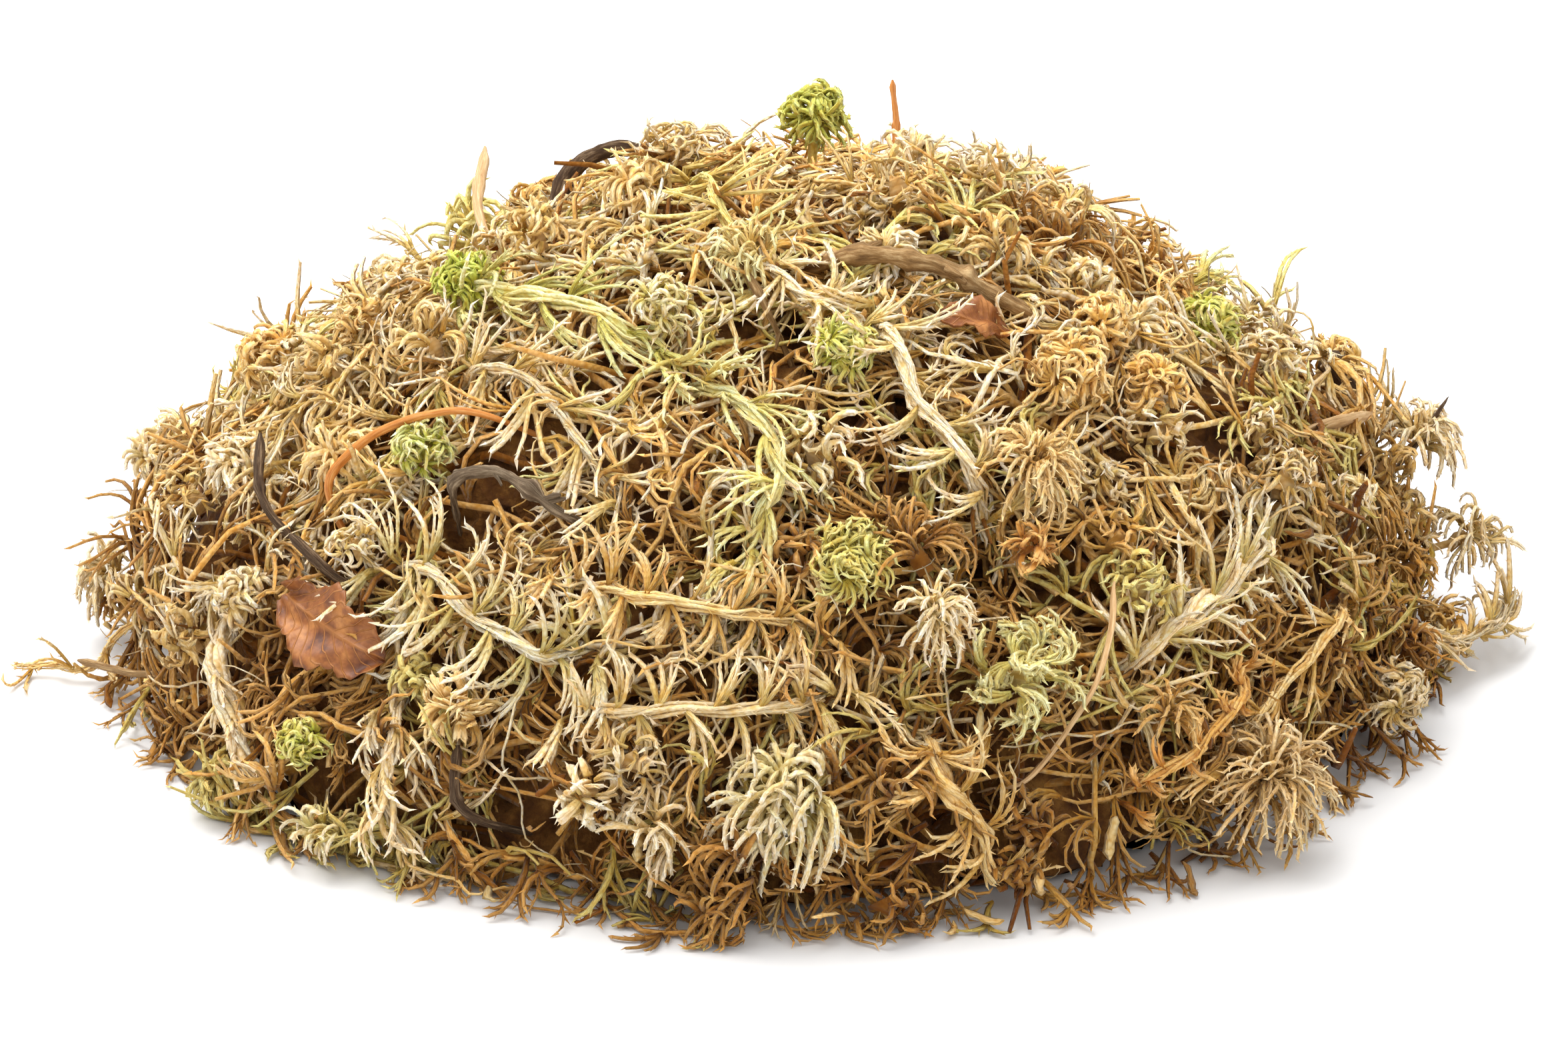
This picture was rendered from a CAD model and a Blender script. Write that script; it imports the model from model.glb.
# %% [markdown]
# # A heap of dried sphagnum moss
#
# Sphagnum is sold dried, as a springy heap of bleached leafy stems. Seen close, it is ropes:
# each stem carries bunches of side branches, each branch is wrapped in tiny pointed leaves,
# and each stem ends in a tuft, its head. Twigs, pine needles and a dead leaf come with it.
#
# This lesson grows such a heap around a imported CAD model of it. Paths are worked out by a
# few rules, and Geometry Nodes turn them into leafy ropes, the way a plant turns growth
# lines into tissue. The CAD model gives the real size and the place of every named piece.

import math
import random

import bmesh
import bpy
from mathutils import Matrix, Vector, kdtree, noise


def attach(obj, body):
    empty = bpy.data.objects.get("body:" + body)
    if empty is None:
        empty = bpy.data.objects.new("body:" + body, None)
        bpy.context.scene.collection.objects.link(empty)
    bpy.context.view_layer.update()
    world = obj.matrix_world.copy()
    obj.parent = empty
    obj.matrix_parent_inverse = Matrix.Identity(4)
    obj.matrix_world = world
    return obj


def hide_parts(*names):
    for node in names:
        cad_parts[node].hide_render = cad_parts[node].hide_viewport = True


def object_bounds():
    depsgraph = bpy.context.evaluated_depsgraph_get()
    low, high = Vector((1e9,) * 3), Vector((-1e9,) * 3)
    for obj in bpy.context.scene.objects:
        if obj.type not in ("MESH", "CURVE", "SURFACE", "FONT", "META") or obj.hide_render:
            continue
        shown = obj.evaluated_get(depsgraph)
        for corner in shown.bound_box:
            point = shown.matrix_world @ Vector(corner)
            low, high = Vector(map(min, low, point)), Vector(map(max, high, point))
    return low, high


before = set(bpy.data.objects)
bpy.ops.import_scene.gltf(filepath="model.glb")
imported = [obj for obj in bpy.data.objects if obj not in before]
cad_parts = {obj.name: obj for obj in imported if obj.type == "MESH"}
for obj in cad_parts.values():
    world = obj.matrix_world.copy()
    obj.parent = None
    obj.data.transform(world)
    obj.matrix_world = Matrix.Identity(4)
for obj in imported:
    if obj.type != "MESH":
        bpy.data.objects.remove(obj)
cad_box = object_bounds()
MM = 0.001

# Noise vectors take their seed from the clock if they are left alone, so that every run would
# bend the stems otherwise. One fixed seed makes all runs the same.
NOISE_SEED = 1795600734
noise.seed_set(NOISE_SEED)
print("CAD nodes:", len(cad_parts))
print("CAD box in mm:", [[round(value / MM, 1) for value in corner] for corner in cad_box])

# %% [markdown]
# ## The form of the heap
#
# Tipped-out moss slumps into a low dome. It could be sculpted, or scanned, or given by one
# formula. A formula is best here, since thousands of stems must ask where the surface is.
# For any direction from the middle of the base it gives the distance to the surface: a
# rounded cone, wider than deep, with a few broad swellings and the relief of the tufts.
# The CAD model was made from the same numbers, so what grows here fits it.

# %% The surface, by bearing and rise
HALF_WIDTH = 96 * MM
HALF_DEPTH = 87 * MM
HEIGHT = 79 * MM
FULLNESS = 1.8
TUFT_RELIEF = 0.035
TUFT_PITCH = 4.2
TABLE = 0.25 * MM

# Bearing, rise and spread in degrees, and the share of the radius that it adds
SWELLINGS = (
    (155, 14, 30, 0.055),
    (38, 24, 26, 0.05),
    (185, 4, 22, 0.03),
    (8, 6, 22, 0.02),
    (-110, 8, 18, -0.02),
)


def toward(bearing, rise):
    """Unit vector for a compass bearing and an angle above the table, in degrees."""
    level = math.cos(math.radians(rise))
    return Vector((
        level * math.cos(math.radians(bearing)),
        level * math.sin(math.radians(bearing)),
        math.sin(math.radians(rise)),
    ))


def surface_radius(direction):
    """Distance from the middle of the base to the heap's surface."""
    level = math.hypot(direction.x, direction.y)
    bearing = math.atan2(direction.y, direction.x)
    footprint = 1 / math.hypot(math.cos(bearing) / HALF_WIDTH, math.sin(bearing) / HALF_DEPTH)
    steepness = (level / footprint) ** FULLNESS + (max(direction.z, 0) / HEIGHT) ** FULLNESS
    swelling = 1
    for at_bearing, at_rise, spread, share in SWELLINGS:
        away = direction.angle(toward(at_bearing, at_rise), 0)
        swelling += share * math.exp(-((away / math.radians(spread)) ** 2))
    swelling += TUFT_RELIEF * noise.noise(direction * TUFT_PITCH)
    return steepness ** (-1 / FULLNESS) * swelling


def outward(point):
    """The way that is straight out of the heap, near a point of it."""
    return Vector((
        point.x / HALF_WIDTH**2,
        point.y / HALF_DEPTH**2,
        max(point.z, 0) / HEIGHT**2 + 0.5,
    )).normalized()


def at(bearing, rise, height_mm=0):
    """A point that many millimetres above the heap's surface, in that direction."""
    direction = toward(bearing, rise)
    return direction * (surface_radius(direction) + height_mm * MM)


# Steps of a sequence that scatters places evenly, for the bearing and for the height
BEARING_STEP = 0.7548777
RISE_STEP = 0.5698403


def scattered_bearing(place, first=0, last=360):
    """A bearing between two others. The places 0, 1, 2 and so on never bunch up."""
    return first + (last - first) * (place * BEARING_STEP % 1)


def scattered_rise(place, lowest=0.0, share=1.0, power=1.0):
    """A rise picked by its height, which is even over a dome. Powers over 1 favour the foot."""
    return math.degrees(math.asin(lowest + share * (place * RISE_STEP % 1) ** power))


print("height at the middle: %.1f mm" % (surface_radius(toward(0, 90)) / MM))

# %% [markdown]
# ## Growth lines
#
# A stem or branch is first only a line of points. Two rules make every line. A named stem
# follows stations read from the photograph, smoothed into one curve. A branch starts in a
# heading and then turns, droops and waves a little at each step, and it is kept above a
# least height, so that it lies on what is under it and never goes through the table.

# %% Lines for stems and branches
def smooth_line(knots, steps):
    """Points of a Catmull-Rom curve through the knots, steps to each span."""
    ends = [knots[0] * 2 - knots[1], *knots, knots[-1] * 2 - knots[-2]]
    line = []
    for a, b, c, d in zip(ends, ends[1:], ends[2:], ends[3:]):
        for index in range(steps):
            t = index / steps
            line.append(0.5 * (
                b * 2
                + (c - a) * t
                + (a * 2 - b * 5 + c * 4 - d) * t**2
                + (b * 3 - a - c * 3 + d) * t**3
            ))
    line.append(knots[-1].copy())
    return line


WOBBLE_PITCH = 160  # waves to the metre, roughly


def route_line(route, steps, clearance, wobble=0.0):
    """A smooth line along (bearing, rise, height) stations, with a slight natural wobble."""
    line = smooth_line([at(*station) for station in route], steps)
    for point in line:
        point += noise.noise_vector(point * WOBBLE_PITCH) * wobble
        point.z = max(point.z, clearance + TABLE)
    return line


def bent_line(root, heading, length, steps, turn, droop, clearance, least_height, wave=0.0):
    """A branch's line: it turns about the heap's normal, droops and lies on the heap."""
    line = [root]
    heading = heading.normalized()
    for index in range(steps):
        up = outward(line[-1])
        bend = turn / steps + wave * math.sin(index * 2.2)
        heading = Matrix.Rotation(bend, 3, up) @ heading - up * (droop / steps)
        heading.normalize()
        following = line[-1] + heading * (length / steps)
        direction = following.normalized()
        least = surface_radius(direction) + least_height
        if following.length < least:
            following = direction * least
        following.z = max(following.z, clearance + TABLE)
        line.append(following)
    return line


def carried_frames(line, face):
    """A side and an up vector at each point of a line, carried on without twisting."""
    frames = []
    up = face.copy()
    for index in range(len(line)):
        ahead = (line[min(index + 1, len(line) - 1)] - line[max(index - 1, 0)]).normalized()
        up = (up - ahead * up.dot(ahead)).normalized()
        frames.append((ahead.cross(up), up))
    return frames


sample = bent_line(at(-90, 30), Vector((1, 0, 0)), 12 * MM, 6, 1.0, 0.5, 0, -MM)
print("a 12 mm branch bends to span %.1f mm" % ((sample[-1] - sample[0]).length / MM))

# %% [markdown]
# ## Bundles of lines
#
# Ten thousand curve objects would be slow. All the lines of one piece are instead kept as
# the loose edges of one mesh, with the facts that the ropes need stored on each point: how
# thick, which colour, how leafy, and which way is up. Geometry Nodes can read all of these.

# %% A bundle holds many lines and their attributes
def linked(name, data):
    """A new object that is linked to the scene."""
    thing = bpy.data.objects.new(name, data)
    bpy.context.scene.collection.objects.link(thing)
    return thing


class Bundle:
    def __init__(self):
        self.points = []
        self.edges = []
        self.thickness = []
        self.tint = []
        self.leafy = []
        self.up = []

    def add(self, line, thickness, tint, leafy=0.0):
        first = len(self.points)
        self.points += line
        self.edges += [(first + index, first + index + 1) for index in range(len(line) - 1)]
        self.thickness += thickness
        self.tint += [tint] * len(line) if not isinstance(tint, list) else tint
        self.leafy += [leafy] * len(line)
        self.up += [outward(point) for point in line]

    def path_object(self, name):
        mesh = bpy.data.meshes.new(name)
        mesh.from_pydata(self.points, self.edges, [])
        for key, kind, field, values in (
            ("thickness", "FLOAT", "value", self.thickness),
            ("leafy", "FLOAT", "value", self.leafy),
            ("tint", "FLOAT_COLOR", "color", [part for tint in self.tint for part in (*tint, 1)]),
            ("up", "FLOAT_VECTOR", "vector", [part for up in self.up for part in up]),
        ):
            attribute = mesh.attributes.new(key, kind, "POINT")
            attribute.data.foreach_set(field, values)
        return linked(name + "_paths", mesh)


def taper(thickness, count, root=0.7, tip=0.45):
    """Thickness from the root to the tip, in metres: slim, full, slim."""
    values = []
    for index in range(count):
        t = index / (count - 1)
        full = root + (1 - root) * min(1, t * 3.5)
        values.append(thickness * full * (1 - (1 - tip) * t**2.2))
    return values


print("a taper of 1 mm in five points:", [round(value / MM, 2) for value in taper(MM, 5)])

# %% [markdown]
# ## The rope tree
#
# A leafy branch could be modelled once and copied, but then all would bend alike. One
# Geometry Nodes tree instead makes every rope along its own line. It turns loose edges into
# curves and sweeps a small many-sided ring along them, scaled by each point's thickness. Then
# it sets a pointed leaf every millimetre or so, turned by the golden angle from the one
# before, as leaves are set on a real branch, and tilted towards the tip. A leaf has only four
# faces, since there are tens of thousands of them. Everything is made real at the end.

# %% Helpers for building trees
def new_tree(name, inputs):
    """An empty Geometry Nodes tree with named inputs. Returns it with its two end nodes."""
    tree = bpy.data.node_groups.new(name, "GeometryNodeTree")
    tree.interface.new_socket(name="Paths", in_out="INPUT", socket_type="NodeSocketGeometry")
    for label, kind, default in inputs:
        socket = tree.interface.new_socket(name=label, in_out="INPUT", socket_type=kind)
        if default is not None:
            socket.default_value = default
    tree.interface.new_socket(name="Mesh", in_out="OUTPUT", socket_type="NodeSocketGeometry")
    return tree, tree.nodes.new("NodeGroupInput"), tree.nodes.new("NodeGroupOutput")


def put(tree, kind, wires, **settings):
    """Adds a node, sets its options, and wires or sets its inputs by name or number."""
    node = tree.nodes.new(kind)
    for name, value in settings.items():
        setattr(node, name, value)
    for key, source in wires.items():
        socket = node.inputs[key]
        if isinstance(source, bpy.types.NodeSocket):
            tree.links.new(source, socket)
        else:
            socket.default_value = source
    return node


def named(tree, name, kind="FLOAT"):
    """Reads one of the attributes that a bundle stores on its points."""
    return put(tree, "GeometryNodeInputNamedAttribute", {"Name": name}, data_type=kind).outputs[0]


def turned(tree, rotation, axis, angle):
    """A rotation turned further about one of its own axes."""
    by = put(tree, "FunctionNodeAxisAngleToRotation", {"Axis": axis, "Angle": angle})
    return put(
        tree, "FunctionNodeRotateRotation",
        {"Rotation": rotation, "Rotate By": by.outputs[0]}, rotation_space="LOCAL",
    ).outputs[0]


def calc(tree, operation, *values):
    """One step of arithmetic on numbers or sockets."""
    return put(tree, "ShaderNodeMath", dict(enumerate(values)), operation=operation).outputs[0]


def end_tree(tree, geometry, start, end):
    """Ends a tree as the export needs it: made real, in one finish, as one mesh."""
    real = put(tree, "GeometryNodeRealizeInstances", {"Geometry": geometry})
    finished = put(tree, "GeometryNodeSetMaterial", {
        "Geometry": real.outputs["Geometry"], "Material": start.outputs["Finish"],
    })
    tree.links.new(finished.outputs["Geometry"], end.inputs["Mesh"])
    return tree


# %% A ring swept along every line
def swept_ring(tree, curve, start):
    """A ring swept along curves. It remembers how far along and around each point is."""
    far = put(tree, "GeometryNodeSplineParameter", {})
    along = put(tree, "GeometryNodeStoreNamedAttribute", {
        "Geometry": curve, "Name": "along", "Value": far.outputs["Length"],
    }, data_type="FLOAT", domain="POINT")
    ring = put(
        tree, "GeometryNodeCurvePrimitiveCircle",
        {"Resolution": start.outputs["Sides"], "Radius": 1.0}, mode="RADIUS",
    )
    turn = put(tree, "GeometryNodeSplineParameter", {})
    around = put(tree, "GeometryNodeStoreNamedAttribute", {
        "Geometry": ring.outputs["Curve"], "Name": "around", "Value": turn.outputs["Factor"],
    }, data_type="FLOAT", domain="POINT")
    squashed = put(tree, "ShaderNodeCombineXYZ", {"X": 1.0, "Y": start.outputs["Flatness"], "Z": 1.0})
    profile = put(tree, "GeometryNodeTransform", {
        "Geometry": around.outputs["Geometry"], "Scale": squashed.outputs[0],
    })
    return put(tree, "GeometryNodeCurveToMesh", {
        "Curve": along.outputs["Geometry"], "Profile Curve": profile.outputs["Geometry"],
        "Scale": named(tree, "thickness"), "Fill Caps": True,
    }).outputs["Mesh"]


# %% Leaves along every line
GOLDEN_ANGLE = math.radians(137.508)
LEAF_VARIES = (0.7, 1.35)  # least and most, as shares of a leaf's length and tilt
LEAF_WIDTH = 0.24  # half a leaf's width, as a share of its length
LEAF_THICKNESS = 0.12
BARE = 0.05  # lines less leafy than this have no leaves


def pointed_leaves(tree, curve, start):
    """Leaves set along curves, each one turned and tilted from the one before."""
    points = put(
        tree, "GeometryNodeCurveToPoints",
        {"Curve": curve, "Length": start.outputs["Leaf spacing"]}, mode="LENGTH",
    )
    index = put(tree, "GeometryNodeInputIndex", {})
    jitter = put(
        tree, "FunctionNodeRandomValue",
        {2: LEAF_VARIES[0], 3: LEAF_VARIES[1], "Seed": start.outputs["Seed"]}, data_type="FLOAT",
    ).outputs[1]
    around = calc(tree, "MULTIPLY", index.outputs[0], GOLDEN_ANGLE)
    tilt = calc(tree, "MULTIPLY", start.outputs["Leaf tilt"], jitter)
    spun = turned(tree, points.outputs["Rotation"], (0, 0, 1), around)
    leaf = put(tree, "GeometryNodeMeshCone", {
        "Vertices": 3, "Side Segments": 1, "Radius Top": 0.0, "Radius Bottom": 1.0, "Depth": 1.0,
    }, fill_type="NGON")
    leafy = named(tree, "leafy")
    length = calc(tree, "MULTIPLY", start.outputs["Leaf length"], jitter)
    sized = calc(tree, "MULTIPLY", length, leafy)
    scale = put(tree, "ShaderNodeCombineXYZ", {
        "X": calc(tree, "MULTIPLY", sized, LEAF_WIDTH),
        "Y": calc(tree, "MULTIPLY", sized, LEAF_THICKNESS),
        "Z": sized,
    })
    has_leaves = put(tree, "FunctionNodeCompare", {0: leafy, 1: BARE}, operation="GREATER_THAN")
    return put(tree, "GeometryNodeInstanceOnPoints", {
        "Points": points.outputs["Points"],
        "Selection": has_leaves.outputs[0],
        "Instance": leaf.outputs["Mesh"],
        "Rotation": turned(tree, spun, (1, 0, 0), tilt),
        "Scale": scale.outputs[0],
    }).outputs["Instances"]


# %% Build the rope tree
ROPE_INPUTS = (
    ("Sides", "NodeSocketInt", 3),
    ("Flatness", "NodeSocketFloat", 0.8),
    ("Leaf spacing", "NodeSocketFloat", 1.3 * MM),
    ("Leaf length", "NodeSocketFloat", 1.25 * MM),
    ("Leaf tilt", "NodeSocketFloat", 0.62),
    ("Seed", "NodeSocketInt", 1),
    ("Finish", "NodeSocketMaterial", None),
)


def build_rope_tree():
    tree, start, end = new_tree("Leafy ropes", ROPE_INPUTS)
    curves = put(tree, "GeometryNodeMeshToCurve", {"Mesh": start.outputs["Paths"]})
    rope = swept_ring(tree, curves.outputs["Curve"], start)
    smooth = put(tree, "GeometryNodeSetShadeSmooth", {"Geometry": rope})
    leaves = pointed_leaves(tree, curves.outputs["Curve"], start)
    together = put(tree, "GeometryNodeJoinGeometry", {})
    tree.links.new(smooth.outputs["Geometry"], together.inputs[0])
    tree.links.new(leaves, together.inputs[0])
    return end_tree(tree, together.outputs[0], start, end)


rope_tree = build_rope_tree()
print("rope tree nodes:", len(rope_tree.nodes))

# %% [markdown]
# ## From paths to a plain mesh
#
# The export keeps plain meshes only. So each tree is set on its paths as a modifier, its
# inputs are filled in by their identifiers, the result is copied out as a mesh, and the
# paths are thrown away. Last, what dips into the table is lifted on to it, and what stands
# out past the heap's own height or depth is pressed back, as loose stems would be.

# %% Grow a piece from its paths
LOWEST = 0.1 * MM  # nothing goes below this
PRESSED = 0.35  # the share that is left of what stands out past the heap's depth and height
counted = {}


def grow(bundle, name, tree, values):
    """Runs a tree on a bundle's lines and returns the finished piece."""
    paths = bundle.path_object(name)
    modifier = paths.modifiers.new("grow", "NODES")
    modifier.node_group = tree
    for item in tree.interface.items_tree:
        if item.item_type == "SOCKET" and item.in_out == "INPUT" and item.name in values:
            modifier[item.identifier] = values[item.name]
    graph = bpy.context.evaluated_depsgraph_get()
    mesh = bpy.data.meshes.new_from_object(paths.evaluated_get(graph))
    bpy.data.objects.remove(paths)
    for vertex in mesh.vertices:
        vertex.co.z = max(vertex.co.z, LOWEST)
        for axis, limit in ((1, cad_box[0].y), (1, cad_box[1].y), (2, cad_box[1].z)):
            beyond = vertex.co[axis] - limit
            if beyond * limit > 0:
                vertex.co[axis] = limit + beyond * PRESSED
    mesh.name = name
    mesh.calc_loop_triangles()
    counted[name] = len(mesh.loop_triangles)
    return linked(name, mesh)


def settle(piece, node=None):
    """The body that a piece rides on, and the CAD node that it stands for, if any."""
    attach(piece, "root")
    if node:
        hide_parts(node)


print("reach is pressed back to %d%% past the CAD box" % round(100 * PRESSED))

# %% [markdown]
# ## Colours
#
# Dried sphagnum bleaches from green through yellow and straw to cream, and old parts go gold
# and brown. Each line carries its own colour, picked for the whole sprig and shifted a little
# for each branch. The finish then adds what is finer than a branch: mottling, and paler tips.
# Colours are named by eye from the photograph, in everyday 0 to 255 values.

# %% The palette
def srgb(red, green, blue):
    """A screen colour as the linear values that shaders use."""
    return tuple((channel / 255) ** 2.2 for channel in (red, green, blue))


CREAM = srgb(253, 244, 222)
STRAW = srgb(253, 230, 176)
GOLD = srgb(250, 206, 132)
TAN = srgb(224, 182, 118)
LIME = srgb(246, 242, 168)
GREEN = srgb(200, 216, 92)
MINT = srgb(246, 246, 194)
BROWN = srgb(150, 102, 46)
RUST = srgb(214, 142, 72)


def mixed(a, b, share):
    return tuple(x * (1 - share) + y * share for x, y in zip(a, b))


STAIN_HEIGHT = 50 * MM
STAIN = (0.42, 0.52, 0.68)


def lowness(point):
    """From 0 well above the table to 1 at the foot, and a little more on the right."""
    return max(0, 1 - (point.z - 0.14 * point.x) / STAIN_HEIGHT)


def stained(tint, low):
    """The tint with the dust and brown that gather low in the heap."""
    return tuple(channel * (1 - low * loss) for channel, loss in zip(tint, STAIN))


def varied(tint, draw, amount=0.2):
    """The tint made a little lighter or darker, and a little warmer or cooler."""
    light = 1 + draw.uniform(-amount, amount * 0.6)
    warm = draw.uniform(-0.05, 0.07)
    return (tint[0] * light * (1 + warm), tint[1] * light, tint[2] * light * (1 - warm))


print("straw, as shaders read it:", [round(channel, 2) for channel in STRAW])

# %% [markdown]
# ## The moss finish
#
# A branch is wrapped in overlapping leaves less than a millimetre long. Modelled one by one
# they would be millions, so only a few are, and the finish draws the rest. It reads each
# line's own colour and mottles it. Then it draws the leaves as stretched cells, laid out by
# how far along and around the branch a point is. A little sheen stands for the finest fuzz.

# %% Helpers for finishes
def new_finish(name, roughness, specular=0.5):
    """A material, with its node tree and its surface shader."""
    material = bpy.data.materials.new(name)
    material.use_nodes = True
    surface = material.node_tree.nodes["Principled BSDF"]
    surface.inputs["Roughness"].default_value = roughness
    surface.inputs["Specular IOR Level"].default_value = specular
    return material, material.node_tree, surface


def noise_pattern(tree, scale, detail=3.0):
    """Noise on Object coordinates, with scale in cycles to the metre."""
    place = tree.nodes.new("ShaderNodeTexCoord")
    return put(tree, "ShaderNodeTexNoise", {
        "Vector": place.outputs["Object"], "Scale": scale, "Detail": detail, "Roughness": 0.6,
    }).outputs["Fac"]


def along_and_around(tree, stretch):
    """Coordinates along and around a rope or stick, as its own attributes hold them."""
    along = put(tree, "ShaderNodeAttribute", {}, attribute_name="along")
    around = put(tree, "ShaderNodeAttribute", {}, attribute_name="around")
    place = put(tree, "ShaderNodeCombineXYZ", {"X": along.outputs["Fac"], "Y": around.outputs["Fac"]})
    return put(tree, "ShaderNodeMapping", {"Vector": place.outputs[0], "Scale": stretch}).outputs[0]


def ramp(tree, source, stops):
    """A colour ramp of (position, grey or colour) stops."""
    node = put(tree, "ShaderNodeValToRGB", {"Fac": source})
    elements = node.color_ramp.elements
    while len(elements) < len(stops):
        elements.new(0.5)
    for element, (position, colour) in zip(elements, stops):
        element.position = position
        element.color = (colour, colour, colour, 1) if isinstance(colour, float) else (*colour, 1)
    return node.outputs["Color"]


def blend(tree, first, second, factor=1.0, blend_type="MULTIPLY"):
    """Two colours multiplied or mixed."""
    return put(
        tree, "ShaderNodeMix", {"Factor": factor, 6: first, 7: second},
        data_type="RGBA", blend_type=blend_type,
    ).outputs[2]


def dress(tree, surface, colour, height, strength, distance, invert=False):
    """Wires a colour to a surface, and a height pattern to it as bump."""
    tree.links.new(colour, surface.inputs["Base Color"])
    bump = put(tree, "ShaderNodeBump", {
        "Strength": strength, "Distance": distance, "Height": height,
    }, invert=invert)
    tree.links.new(bump.outputs["Normal"], surface.inputs["Normal"])


# %% Moss material
LEAF_CELLS = (1500, 4, 1)  # leaves to the metre along a branch, and leaves round it
WHITE = (1, 1, 1)


def moss_finish():
    material, tree, surface = new_finish("dry_moss", 0.78, 0.1)
    tint = put(tree, "ShaderNodeAttribute", {}, attribute_name="tint")
    scales = put(tree, "ShaderNodeTexVoronoi", {
        "Vector": along_and_around(tree, LEAF_CELLS), "Scale": 1.0,
    }).outputs["Distance"]
    edges = ramp(tree, scales, ((0.3, WHITE), (0.9, (0.82, 0.68, 0.4))))
    mottle = ramp(tree, noise_pattern(tree, 420), ((0.3, (0.86, 0.72, 0.46)), (0.56, WHITE)))
    colour = blend(tree, tint.outputs["Color"], blend(tree, mottle, edges))
    dress(tree, surface, colour, scales, 0.8, 0.25 * MM, invert=True)
    surface.inputs["Sheen Weight"].default_value = 0.15
    surface.inputs["Sheen Tint"].default_value = (1, 0.92, 0.78, 1)
    surface.inputs["Sheen Roughness"].default_value = 0.5
    return material


DRY_MOSS = moss_finish()
print("moss finish nodes:", len(DRY_MOSS.node_tree.nodes))

# %% [markdown]
# ## Bunches of branches
#
# Sphagnum sets its side branches in bunches, and the branches of one bunch start at one point
# and curl the same way. That is what gives the heap its combed, fluffy look. Branches could be
# scattered singly, which looks like straw, so the bunch is the unit that everything leafy is
# made of. Roots are darker than tips, as in a real tuft, where less light gets in and the old
# growth is brown.

# %% One bunch
def blended(root_tint, tip_tint, count, root_shade=0.55):
    """From one tint at the root to another at the tip, with the root in shade."""
    shades = []
    for index in range(count):
        t = index / (count - 1)
        shade = root_shade + (1.05 - root_shade) * min(1, 1.5 * t)
        red, green, blue = mixed(root_tint, tip_tint, t)
        shades.append((red * shade, green * shade**1.25, blue * shade**2.6))
    return shades


def add_bunch(
    bundle, root, along, side, draw, reach, thick, least_height, tints, leafy, count, steps, comb=None,
):
    """Side branches that start together and curl the same way, by comb radians if given."""
    up = outward(root)
    across = up.cross(along).normalized() * side
    spread = draw.uniform(0.35, 1.4) if comb is None else draw.uniform(0.8, 1.2)
    lift = draw.uniform(-0.2, 0.9)
    turn = draw.choice((-1, 1)) * draw.uniform(0.4, 3.4) if comb is None else comb * side
    for _ in range(count):
        own_spread = spread + draw.uniform(-0.35, 0.35)
        own_lift = lift + draw.uniform(-0.35, 0.35)
        aside = across * math.cos(own_lift) + up * math.sin(own_lift)
        way = along * math.cos(own_spread) + aside * math.sin(own_spread)
        branch = bent_line(
            root, way, reach * draw.uniform(0.6, 1.25), steps, turn + draw.uniform(-0.6, 0.6),
            draw.uniform(0.1, 1.1), thick, least_height, draw.uniform(-0.15, 0.15),
        )
        own = thick * draw.uniform(0.75, 1.15)
        shades = blended(varied(tints[0], draw), varied(tints[1], draw), len(branch))
        bundle.add(branch, taper(own, len(branch), 0.7, 0.6), shades, leafy)


print("four shades from root to tip:", [round(shade[0], 2) for shade in blended(TAN, CREAM, 4)])

# %% [markdown]
# ## Heads
#
# A head is the tuft at a stem's end, where young branches crowd round the bud. One star of
# branches looks too neat for a dried head, which dries in lumps. So a head is a few lobes,
# set by the golden angle round an axis, and each lobe is a little crowd of short branches
# that curl its own way. How widely the lobes lean, how long the branches are and how they
# sag makes a rosette, a ball, a fan or a hanging basket.

# %% One head
# How far the outermost lobe leans in radians, how far branches curl over, where they
# start and how long they are as shares of the radius, how they sag, how many lobes there
# are, how widely the branches of one lobe spread in radians, and how much they swirl
HEAD_FORMS = {
    "rosette": (1.7, 2.8, 0.5, 0.62, 0.12, 9, 1.3, 1.5),
    "ball": (2.1, 3.8, 0.6, 0.9, 0.05, 7, 1.4, 4.0),
    "fan": (0.9, 1.6, 0.3, 1.3, 0.35, 5, 0.7, 0.4),
    "basket": (1.4, 2.2, 0.5, 1.35, 0.35, 8, 0.8, 0.9),
    "tongues": (1.6, 1.5, 0.4, 0.65, 0.0, 7, 1.1, 0.4),
}

HEAD_LIFT = Vector((0, 0, 0.9))  # tufts turn up to the light


def head_axis(bearing, rise, lean, turned_up=True):
    """The way that a head faces: outwards, leaning to a bearing by some degrees, and up."""
    toward_bearing, by = lean
    up = outward(at(bearing, rise))
    axis = (up + toward(toward_bearing, 0) * math.tan(math.radians(by))).normalized()
    return (axis + HEAD_LIFT).normalized() if turned_up else axis


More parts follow.
